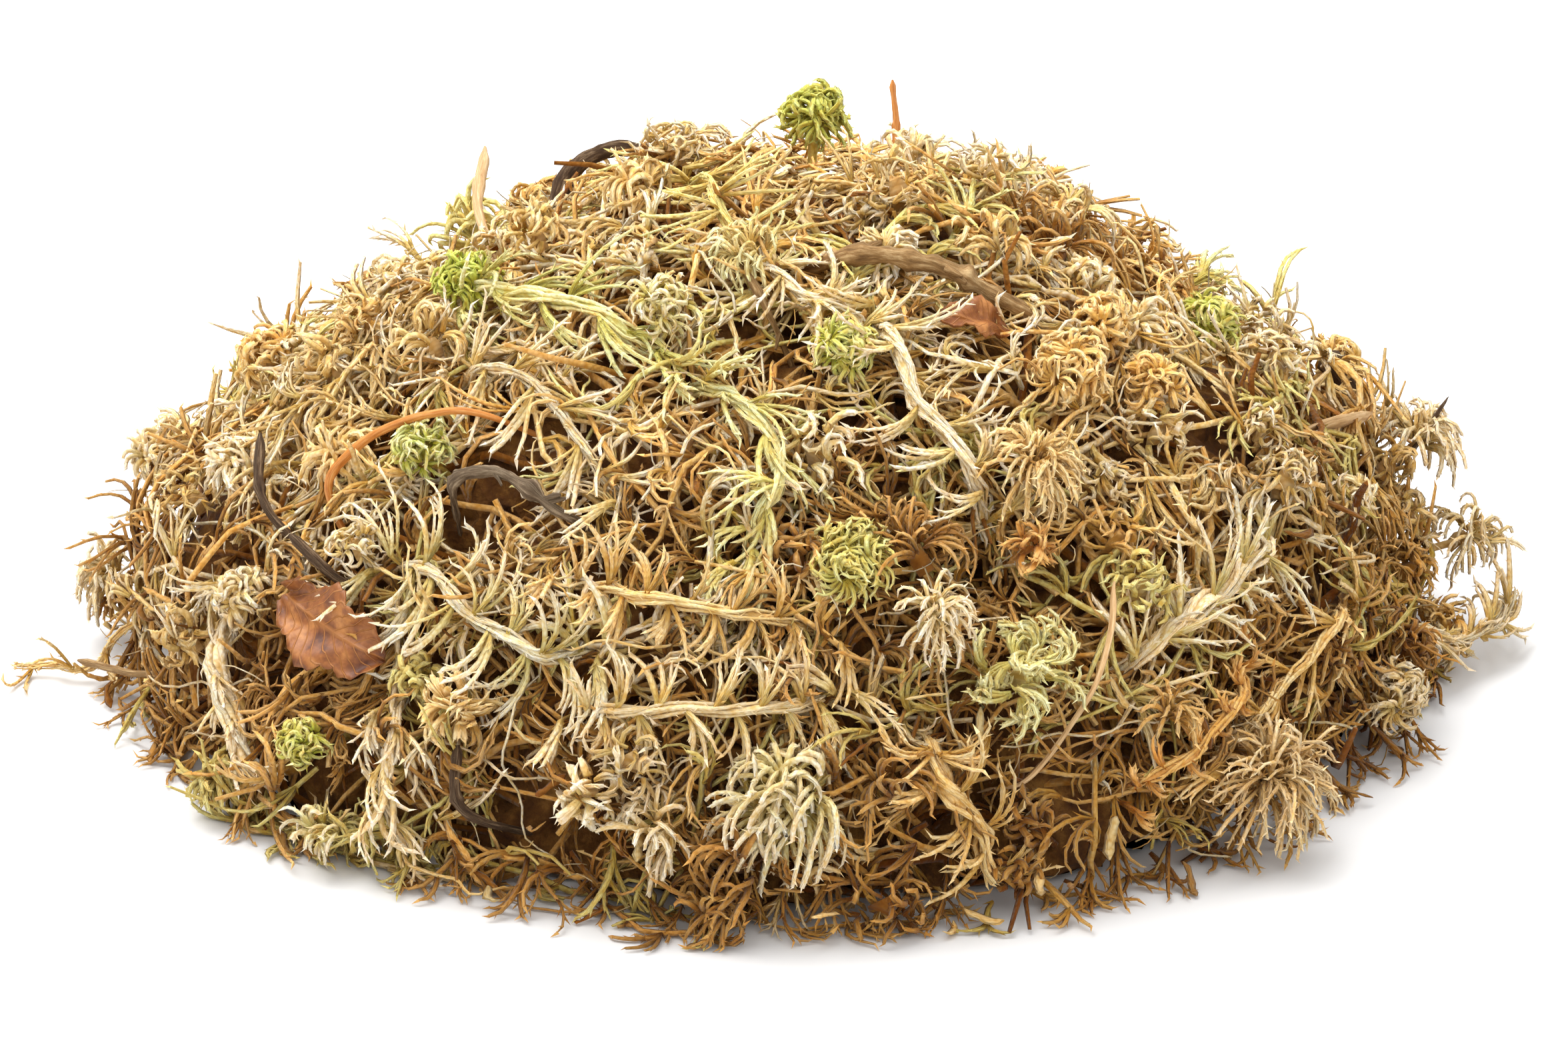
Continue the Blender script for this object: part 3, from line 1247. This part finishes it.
def make_leaf(name, half_width, route):
    line = route_line(route, 16, 0.5 * MM)
    frames = carried_frames(line, outward(line[len(line) // 2]))
    shape = bmesh.new()
    uv = shape.loops.layers.uv.new("leaf")
    where = {}
    rows = leaf_rows(shape, line, frames, half_width, where)
    for low, high in zip(rows, rows[1:]):
        for a, b, c, d in zip(low, low[1:], high[1:], high):
            shape.faces.new((a[0], b[0], c[0], d[0]))
            shape.faces.new((b[1], a[1], d[1], c[1]))
    rim = [row[0] for row in rows] + rows[-1][1:]
    rim += [row[-1] for row in rows[-2::-1]] + rows[0][-2:0:-1]
    for a, b in zip(rim, rim[1:] + rim[:1]):
        shape.faces.new((a[0], b[0], b[1], a[1]))
    for face in shape.faces:
        face.smooth = True
        for loop in face.loops:
            loop[uv].uv = where[loop.vert]
    bmesh.ops.recalc_face_normals(shape, faces=shape.faces)
    piece = shape_object(shape, name + "_fine", BROWN_LEAF)
    counted[piece.name] = 2 * len(piece.data.polygons)
    for point, (side, _) in zip(line, frames):
        on_top.extend(point + side * (half_width * MM * share) for share in (-0.8, 0, 0.8))
    settle(piece, name)


make_leaf("brown_leaf", 5.6, ((-145, 21, 2), (-138, 20, 3), (-132, 19, 1)))
make_leaf("red_leaf_scrap", 3.2, ((-47, 55, -0.5), (-53, 57, 1), (-59, 58.5, 0)))
print("leaf faces:", counted["brown_leaf_fine"] // 2, counted["red_leaf_scrap_fine"] // 2)

# %% [markdown]
# ## What lies on top keeps its place
#
# The named pieces are laid first. The loose sprigs then fill in round them and give way near
# them, so that a leaf or a twig lies on the moss and isn't buried in it. Testing every pair
# would be slow, so a tree of points finds the nearest named piece. Away from them the sprigs
# rise and sink in broad lumps and hollows, since a heap that was tipped out is never an even
# dome.

# %% Lumps, hollows and clearings
on_top_tree = kdtree.KDTree(len(on_top))
for index, point in enumerate(on_top):
    on_top_tree.insert(point, index)
on_top_tree.balance()

CLEARING = 6.5 * MM
CLEARING_DEPTH_MM = 2.8
# Broad lumps and hollows among the sprigs: bearing, rise, spread in degrees, and mm
HOLLOWS = (
    (-66, 31, 9, -9.0),
    (-84, 44, 6, -3.5),
    (-104, 37, 5, -3.0),
    (-128, 33, 6, -3.0),
    (-48, 33, 5, -3.0),
    (-98, 26, 5, -2.5),
    (-110, 9, 6, -3.5),
    (-72, 7, 6, -3.5),
    (158, 40, 12, -8.5),
    (152, 50, 9, -7.0),
    (124, 64, 9, -4.0),
    (98, 76, 8, -5.5),
    (60, 76, 7, -2.5),
    (41, 66, 9, -6.5),
    (18, 44, 9, -6.5),
    (10, 28, 10, 4.0),
    (5, 19, 8, 4.0),
    (-38, 4, 12, -5.0),
    (-45, 52, 9, 3.0),
    (-110, 64, 9, 2.0),
    (-168, 24, 12, 2.5),
    (-20, 30, 9, 2.5),
    (-90, 14, 7, 0.5),
    (-79, 20, 7, -3.5),
)


def nearest_on_top(direction):
    """How far the nearest named piece is from the surface in that direction."""
    return on_top_tree.find(direction * surface_radius(direction))[2]


def relief(direction):
    """How far the loose stems rise above or sink below the even surface, in metres."""
    height = 3.2 * noise.noise(direction * 7.5) + 1.6 * noise.noise(direction * 15)
    height -= CLEARING_DEPTH_MM * max(0, 1 - nearest_on_top(direction) / CLEARING)
    for bearing, rise, spread, change in HOLLOWS:
        away = direction.angle(toward(bearing, rise), 0)
        height += change * math.exp(-((away / math.radians(spread)) ** 2))
    return height * MM


print("points on top:", len(on_top), "and relief at the crown: %.1f mm" % (relief(toward(0, 90)) / MM))

# %% [markdown]
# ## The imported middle
#
# Between the ropes one looks into dark brown depth. Filling it with more ropes would cost
# millions of faces that nobody sees. The heap's middle only has to close that view, so it is
# one knobbly dark form some millimetres below the surface, with the ridges of packed stems.
# It is a ball whose points are moved to the heap's form, with a level base.

# %% Dark middle of the heap
CORE_DEPTH = 8.5 * MM
CORE_RIDGE = 2.6 * MM
CORE_CRUMB = 0.8 * MM
BASE_RIM = 1.2 * MM  # the rim stands a little higher than the middle of the base
BASE_MIDDLE = 0.35 * MM


def litter_finish():
    material, tree, surface = new_finish("packed_litter", 0.95)
    patches = ramp(
        tree, noise_pattern(tree, 260, 6.0),
        ((0.3, srgb(58, 30, 8)), (0.5, srgb(104, 66, 24)), (0.72, srgb(160, 114, 54))),
    )
    dress(tree, surface, patches, noise_pattern(tree, 900, 4.0), 0.8, 0.8 * MM)
    return material


def packed_middle():
    shape = bmesh.new()
    bmesh.ops.create_icosphere(shape, subdivisions=6, radius=1)
    for vertex in shape.verts:
        direction = vertex.co.normalized()
        level = math.hypot(direction.x, direction.y)
        upper = direction
        if direction.z < 0:
            upper = Vector((direction.x, direction.y, 0.001)).normalized()
        ridge = 1 - 2.4 * abs(noise.noise(upper * 14 + noise.noise_vector(upper * 7)))
        crumb = noise.noise(upper * 60)
        depth = CORE_DEPTH - CORE_RIDGE * (ridge - 0.4) - CORE_CRUMB * crumb - min(0, relief(upper))
        radius = surface_radius(upper) - depth
        if direction.z < 0:
            vertex.co = Vector((direction.x, direction.y, 0)) * radius
            vertex.co.z = BASE_RIM if level > 0.97 else BASE_MIDDLE
        else:
            vertex.co = upper * radius
            vertex.co.z = max(vertex.co.z, BASE_RIM)
    return shape_object(shape, "packed_middle", litter_finish())


middle = packed_middle()
tangle_pieces = [middle]
print("packed middle faces:", len(middle.data.polygons))

# %% [markdown]
# ## Sprigs
#
# A sprig is one stem with a bunch every few millimetres, and most of the heap is sprigs. They
# could be dropped on it by a physics simulation, which is slow and never gives the same heap
# twice. Here they are laid over it in layers. Deep ones are brown and plain, since little of
# them shows, and outer ones are pale and wrapped in leaves. Their headings follow a slow
# swirl, so that neighbours lie roughly side by side, as they do in a real tangle.

# %% One sprig
def lying_line(start, heading, length, steps, bend_at, height_at, clearance):
    """A line that keeps to the heap, with its bend and its height given step by step."""
    line = [start]
    for step in range(steps):
        up = outward(line[-1])
        heading = Matrix.Rotation(bend_at(step), 3, up) @ heading
        heading = (heading - up * heading.dot(up)).normalized()
        following = line[-1] + heading * (length / steps)
        direction = following.normalized()
        following = direction * (surface_radius(direction) + height_at(step, direction))
        following.z = max(following.z, clearance + TABLE)
        line.append(following)
    return line


def add_sprig(bundle, start, heading, draw, length, radius, tints, height, shape, leafy):
    """A stem that lies on the heap at a height, with its bunches on both sides."""
    bunches, per_bunch, reach, steps = shape
    turn = draw.uniform(-1.3, 1.3)
    stem_steps = steps + 3

    def bend_at(step):
        return turn / stem_steps + 0.25 * math.sin(step * 1.9 + turn * 4)

    def height_at(step, direction):
        arch = math.sin(math.pi * (step + 1) / stem_steps)
        return height + relief(direction) + (3.6 * arch - 3) * MM

    stem = lying_line(start, heading, length, stem_steps, bend_at, height_at, radius)
    bundle.add(stem, taper(radius, len(stem), 0.9, 0.5), varied(tints[1], draw, 0.1), leafy * 0.7)
    side = draw.choice((-1, 1))
    for bunch in range(bunches):
        root, along = spot_on(stem, (bunch + 0.6) / bunches)
        if draw.random() < 0.7:
            side = -side
        add_bunch(
            bundle, root, along, side, draw, reach * draw.uniform(0.75, 1.2), radius * 0.78,
            height + relief(root.normalized()) - 2.2 * MM, tints, leafy, per_bunch, steps,
        )


# %% Colours by place
GREEN_DRIFT = Vector((7, 1, 4))
GOLD_DRIFT = Vector((2, 9, 5))


def place_tints(direction, draw, depth):
    """Root and tip colours of a place, stained more the lower it lies."""
    low = lowness(direction * surface_radius(direction))
    root, tip = drift_tints(direction, draw, depth)
    return stained(root, low), stained(tip, low)


def drift_tints(direction, draw, depth):
    """Root and tip colours: paler on top and on lumps, browner inside and low down, in drifts."""
    green = noise.noise(direction * 3.1 + GREEN_DRIFT)
    gold = noise.noise(direction * 2.7 + GOLD_DRIFT) + 0.3 * direction.x
    foot = max(0, 0.55 - direction.z) * 1.7 - relief(direction) / (5 * MM)
    pick = draw.random()
    if depth > 0.6:
        tint = BROWN if pick < 0.4 else (TAN if pick < 0.75 else GOLD)
        return tint, tint
    if pick < 0.08 + 0.6 * green:
        return mixed(STRAW, LIME, 0.6), LIME
    if pick > 0.86 - 0.5 * gold:
        return GOLD, mixed(GOLD, STRAW, 0.6)
    pale = draw.random()
    if pale < foot + 0.35 * depth:
        return BROWN, mixed(TAN, GOLD, draw.random())
    return (STRAW, CREAM) if pale > 0.4 else (mixed(TAN, STRAW, 0.5), STRAW)


# %% Lay the sprigs in layers
# Name, seed, how many, bearings, height in mm, depth share, stem radius in mm, then
# bunches, branches in a bunch, their length in mm and steps, and how leafy
LAYERS = (
    ("deep_sprigs", 11, 240, (-180, 180), -5.5, 1.0, 0.85, (4, 2, 12, 3), 0.0),
    ("middle_sprigs", 12, 205, (-180, 180), -3.0, 0.5, 0.66, (5, 3, 9.5, 4), 0.0),
    ("outer_left_sprigs", 13, 102, (-180, -90), -0.8, 0.1, 0.55, (5, 4, 8.5, 5), 1.0),
    ("outer_right_sprigs", 15, 102, (-90, 0), -0.8, 0.1, 0.55, (5, 4, 8.5, 5), 1.0),
    ("outer_back_sprigs", 14, 98, (0, 180), -0.8, 0.1, 0.58, (5, 4, 8.5, 5), 1.0),
)


def lay(bundle, name, seed, leaves=None):
    """Grows a loose layer, which is one of the pieces that stand for the tangle."""
    tangle_pieces.append(grow(bundle, name, rope_tree, {**(leaves or {}), "Seed": seed, "Finish": DRY_MOSS}))
    print("%s: %d triangles" % (name, counted[name]))


def lay_sprigs(name, seed, count, bearings, height, depth, radius, shape, leafy):
    draw = random.Random(seed)
    bundle = Bundle()
    bunches, per_bunch, reach, steps = shape
    for index in range(count):
        bearing = scattered_bearing(index + seed * 0.37, *bearings)
        rise = scattered_rise(index + seed * 0.71, power=1.1)
        start = at(bearing, rise, height - 3 + draw.uniform(-1, 1))
        start.z = max(start.z, 1.0 * MM)
        direction = start.normalized()
        up = outward(start)
        swirl = noise.noise(direction * 2.3 + Vector((seed, 0, 0))) * 4.5 + draw.uniform(-0.9, 0.9)
        heading = Matrix.Rotation(swirl, 3, up) @ up.cross(Vector((0.3, 0.2, 1))).normalized()
        add_sprig(
            bundle, start, heading, draw, draw.uniform(22, 42) * MM,
            radius * MM * draw.uniform(0.75, 1.25), place_tints(direction, draw, depth),
            (height + draw.uniform(-0.8, 1.2)) * MM,
            (bunches, per_bunch, reach * MM * draw.uniform(0.75, 1.3), steps), leafy,
        )
    lay(bundle, name, seed, {"Leaf spacing": 2.2 * MM, "Leaf length": 1.15 * MM})


for layer in LAYERS:
    lay_sprigs(*layer)

# %% [markdown]
# ## Tufts all over
#
# Most of a heap's surface is broken heads and loose tufts, like popcorn. Copies of one tuft
# would be seen as copies, so each is made afresh, by the rule of the named heads with fewer
# branches. An evenly scattered sequence sets them over the heap, and each takes the colour of
# its place.

# %% Scatter the tufts
def scatter_tufts(name, seed, count, bearings):
    draw = random.Random(seed)
    bundle = Bundle()
    for index in range(count):
        bearing = scattered_bearing(index + 0.3, *bearings)
        rise = scattered_rise(index + 0.8, 0.03, 0.95)
        radius = draw.uniform(4.2, 7.0) * MM
        centre = at(bearing, rise, draw.uniform(-2.2, 1.2))
        if nearest_on_top(centre.normalized()) < radius:
            continue
        centre += centre.normalized() * relief(centre.normalized())
        centre.z = max(centre.z, radius * 0.6)
        lean = (draw.uniform(-180, 180), draw.uniform(0, 50))
        form = draw.choice(("rosette", "rosette", "fan", "ball", "basket"))
        tints = place_tints(centre.normalized(), draw, 0.15)
        branches = draw.randint(26, 40)
        thick = draw.uniform(0.4, 0.65) * MM
        axis = head_axis(bearing, rise, lean)
        add_head(bundle, centre, axis, radius, form, branches, thick, tints, draw, 1.0, 4)
    lay(bundle, name, seed, {"Leaf spacing": 1.3 * MM, "Leaf length": 1.1 * MM})


scatter_tufts("front_tufts", 21, 110, (-180, 0))
scatter_tufts("back_tufts", 22, 34, (0, 180))

# %% [markdown]
# ## Skirt
#
# Round the foot of the heap, stems spread on to the table. The sprigs alone would end there in
# a clean edge, like a cake's. So short stems with three branches each start under the rim,
# run out a little way and settle on the table.

# %% Stems that spread on the table
SKIRT_SEED = 31
SKIRT_STEMS = 150


def ground_line(start, heading, length, steps, turn, thick):
    """A line that runs out from under the heap and comes down on the table."""
    line = [start]
    for index in range(steps):
        heading = Matrix.Rotation(turn / steps, 3, Vector((0, 0, 1))) @ heading
        following = line[-1] + heading * (length / steps)
        following.z = max(start.z * (1 - (index + 1) / steps), thick + TABLE)
        line.append(following)
    return line


def lay_skirt():
    draw = random.Random(SKIRT_SEED)
    bundle = Bundle()
    for index in range(SKIRT_STEMS):
        bearing = scattered_bearing(index)
        start = at(bearing, draw.uniform(1.5, 7), draw.uniform(-5, -1))
        heading = toward(bearing + draw.uniform(-75, 75), 0)
        thick = draw.uniform(0.35, 0.7) * MM
        tints = place_tints(start.normalized(), draw, 0.3)
        length = draw.uniform(5, 10.5) * MM
        line = ground_line(start, heading, length, 5, draw.uniform(-2, 2), thick)
        bundle.add(line, taper(thick, len(line)), blended(*tints, len(line)), 1.0)
        for _ in range(3):
            root = line[draw.randint(1, 3)]
            way = toward(bearing + draw.uniform(-90, 90), 0)
            branch = ground_line(root, way, draw.uniform(3, 5) * MM, 4, draw.uniform(-2.5, 2.5), thick)
            bundle.add(branch, taper(thick * 0.8, len(branch)), blended(*tints, len(branch)), 1.0)
    lay(bundle, "skirt_sprigs", SKIRT_SEED)


lay_skirt()

# %% [markdown]
# ## Loose threads
#
# Bare old stems, thin and wavy, lie over everything. They catch the light and tie the heap
# together by eye. Hair would draw them faster, but the export keeps only meshes, so they are
# thin ropes too. Each wanders over the surface a little above the sprigs. Hair-thin wisps
# stand out between them, which blurs the edges as the fuzz of dry moss does.

# %% Threads that wander over the surface
THREADS_SEED = 77
THREADS = 150
THREAD_STEPS = 14


def lay_threads():
    draw = random.Random(THREADS_SEED)
    bundle = Bundle()
    for index in range(THREADS):
        start = at(scattered_bearing(index + 0.5), scattered_rise(index + 0.2, 0.04, 0.9), 0.5)
        heading = toward(draw.uniform(0, 360), draw.uniform(-40, 40))
        length = draw.uniform(14, 32) * MM
        curl = draw.uniform(-1.2, 1.2)
        thick = draw.uniform(0.26, 0.42) * MM

        def bend_at(step):
            return curl / THREAD_STEPS + 0.35 * math.sin(step * 1.3 + index)

        def height_at(step, direction):
            return relief(direction) + (0.6 + 1.1 * math.sin(step * 0.8 + index)) * MM

        line = lying_line(start, heading, length, THREAD_STEPS, bend_at, height_at, thick)
        tint = varied(draw.choice((CREAM, CREAM, STRAW, STRAW, TAN)), draw)
        tint = stained(tint, 0.7 * lowness(line[0]))
        bundle.add(line, taper(thick, len(line), 0.7, 0.5), tint, 0.45)
    lay(bundle, "loose_threads", THREADS_SEED, {"Leaf spacing": 3 * MM})


lay_threads()

# %% Wisps that stand out
WISPS_SEED = 78
WISPS = 950


def lay_wisps():
    """Short hair-thin tips that stand out all over and blur the edges."""
    draw = random.Random(WISPS_SEED)
    bundle = Bundle()
    for index in range(WISPS):
        bearing = scattered_bearing(index + 0.5)
        rise = scattered_rise(index + 0.2, 0.02, 0.95)
        root = at(bearing, rise, draw.uniform(-1.5, 0.5))
        root += root.normalized() * relief(root.normalized())
        sideways = toward(draw.uniform(0, 360), draw.uniform(-60, 60))
        heading = (outward(root) * 0.8 + sideways).normalized()
        thick = draw.uniform(0.11, 0.18) * MM
        line = bent_line(
            root, heading, draw.uniform(3, 6.5) * MM, 4, draw.uniform(-2, 2), draw.uniform(0.2, 1.6),
            thick, -3 * MM, 0.2,
        )
        tint = stained(varied(draw.choice((CREAM, CREAM, STRAW, GOLD)), draw), 0.8 * lowness(root))
        bundle.add(line, taper(thick, len(line), 0.9, 0.6), tint)
    lay(bundle, "fine_wisps", WISPS_SEED)


lay_wisps()

# %% [markdown]
# ## Flakes
#
# Crumpled bits of bark, bud and leaf collect round the foot. They could be cut from sheets,
# but at this size only their uneven outline is seen. So the rope tree makes them from short
# thick lines of uneven width, with a flattened ring.

# %% Flakes round the foot
FLAKES_SEED = 41
FLAKES = 120


def lay_flakes():
    draw = random.Random(FLAKES_SEED)
    bundle = Bundle()
    for index in range(FLAKES):
        bearing = scattered_bearing(index)
        low = index % 3 == 0
        start = at(bearing, draw.uniform(0.5, 3) if low else draw.uniform(4, 26), draw.uniform(-1, 1.5))
        heading = toward(bearing + draw.uniform(-90, 90), draw.uniform(-40, 25))
        thick = draw.uniform(0.5, 1.1) * MM
        line = [start]
        turn_axis = Vector((draw.uniform(-1, 1), draw.uniform(-1, 1), draw.uniform(-1, 1))).normalized()
        for _ in range(6):
            heading = Matrix.Rotation(draw.uniform(-0.3, 0.7), 3, turn_axis) @ heading
            following = line[-1] + heading * (draw.uniform(0.5, 1.3) * MM)
            following.z = max(following.z, 0.5 * thick + TABLE)
            line.append(following)
        tint = varied(draw.choice((TAN, mixed(TAN, BROWN, 0.5), BROWN, STRAW)), draw, 0.3)
        thickness = [thick * draw.uniform(0.45, 1) for _ in line]
        thickness[0] = thickness[-1] = 0.2 * thick
        bundle.add(line, thickness, stained(tint, 0.5))
    lay(bundle, "foot_flakes", FLAKES_SEED, {"Sides": 4, "Flatness": 0.4})


lay_flakes()

# %% [markdown]
# ## The tangle rides on the frame
#
# The whole heap is one body. The CAD model's tangle is one plain solid, and joining all the
# loose pieces into one would pass what a mesh may hold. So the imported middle, the layers of
# sprigs, the tufts, the skirt, the threads, the wisps and the flakes stay apart, and together
# they stand for it.

# %% The tangle replaces its plain solid
for piece in tangle_pieces:
    settle(piece, "moss_tangle")
print("pieces of the tangle:", len(tangle_pieces))

# %% [markdown]
# ## Floor, light and camera
#
# The heap lies on a plain white sweep. A sun or a small lamp would give it hard shadows, and
# an even white room none. So there is one large soft light above and behind, a weak one in
# front, and a room that is brighter overhead: the top is bright and the front falls into warm
# shade. The camera is where the photograph's was: 24 degrees above the table, with a long lens.

# %% Floor and room
def lay_floor():
    material, _, surface = new_finish("white_sweep", 0.9)
    surface.inputs["Base Color"].default_value = (0.74, 0.74, 0.74, 1)
    shape = bmesh.new()
    bmesh.ops.create_grid(shape, x_segments=1, y_segments=1, size=3)
    shape_object(shape, "floor", material)


def build_room():
    world = bpy.data.worlds.new("soft_room")
    world.use_nodes = True
    tree = world.node_tree
    place = tree.nodes.new("ShaderNodeTexCoord")
    parts = put(tree, "ShaderNodeSeparateXYZ", {"Vector": place.outputs["Generated"]})
    overhead = ramp(tree, parts.outputs["Z"], ((0.0, 0.3), (0.9, 1.0)))
    tree.links.new(overhead, tree.nodes["Background"].inputs["Color"])
    tree.nodes["Background"].inputs["Strength"].default_value = 1.5
    bpy.context.scene.world = world
    bpy.context.scene.view_settings.view_transform = "Standard"


lay_floor()
build_room()
print("room:", bpy.context.scene.world.name)

# %% Lights and camera
CAMERA_RISE = 24
CAMERA_DISTANCE = 0.59
CAMERA_LENS = 90
AIM = Vector((0, 0, 21.5 * MM))


def soft_light(name, place, size, power, colour):
    light = bpy.data.lights.new(name, "AREA")
    light.shape = "SQUARE"
    light.size = size
    light.energy = power
    light.color = colour
    lamp = linked(name, light)
    lamp.location = place
    lamp.rotation_euler = (-Vector(place)).to_track_quat("-Z", "Y").to_euler()


def photograph_camera():
    camera = bpy.data.cameras.new("photograph")
    camera.lens = CAMERA_LENS
    camera.sensor_width = 36
    camera.clip_start = 0.01
    view = linked("photograph", camera)
    view.location = AIM + toward(-90, CAMERA_RISE) * CAMERA_DISTANCE
    view.rotation_euler = (AIM - view.location).to_track_quat("-Z", "Y").to_euler()
    bpy.context.scene.camera = view


soft_light("key_above_behind", (-0.32, 0.2, 1.0), 0.95, 14.0, (1.0, 0.99, 0.985))
soft_light("fill_front", (0.4, -0.9, 0.7), 0.6, 1.2, (1.0, 0.99, 0.97))
photograph_camera()
print("camera at", [round(value, 3) for value in bpy.context.scene.camera.location])

# %% Write both boxes and finish
print("triangles in all:", sum(counted.values()) + len(middle.data.polygons))
